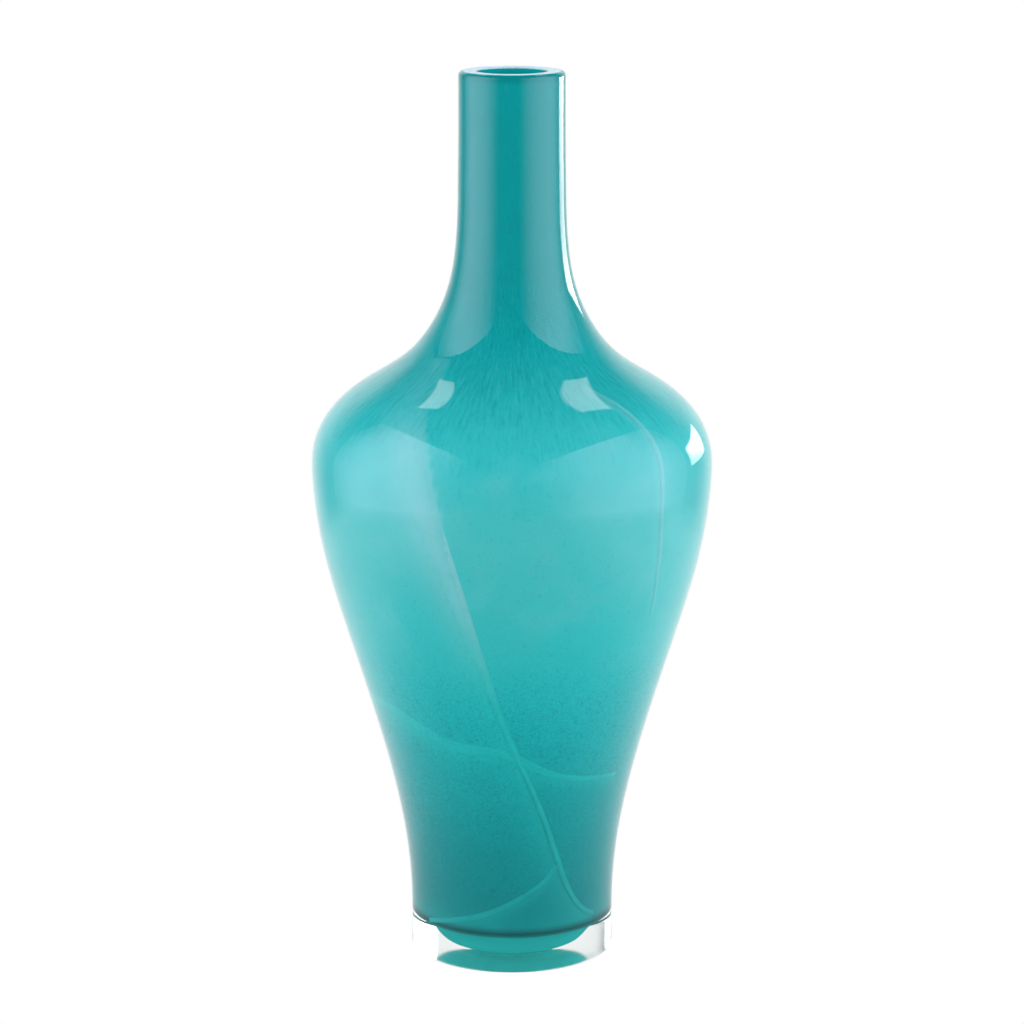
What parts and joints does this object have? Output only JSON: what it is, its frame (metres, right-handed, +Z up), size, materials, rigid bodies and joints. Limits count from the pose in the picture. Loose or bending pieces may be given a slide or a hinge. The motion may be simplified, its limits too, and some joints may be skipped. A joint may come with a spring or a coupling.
{
  "type": "vase",
  "caption": "Tall blown-glass vase with a narrow straight neck, wide shoulder and tapering body: a turquoise layer with pale opal trails cased in thick clear glass.",
  "frame": {"origin": "centre of the foot's rest face, on the vase's axis", "axes": "+Z up the axis of revolution towards the lip; -Y towards the side that carries the trails"},
  "size_m": [0.1882, 0.1882, 0.42],
  "materials": {
    "clear_glass": "clear, polished, fire-smooth with a ground lip and foot",
    "turquoise_glass": "dense turquoise, glossy inside, faintly mottled",
    "opal_glass": "milky opal, soft-edged"
  },
  "bodies": {
    "root": {"clear_casing": "clear_glass", "turquoise_layer": "turquoise_glass", "trail_diagonal": "opal_glass", "trail_ring_left": "opal_glass", "trail_ring_right": "opal_glass", "trail_foot": "opal_glass", "trail_shoulder": "opal_glass"}
  },
  "joints": []
}
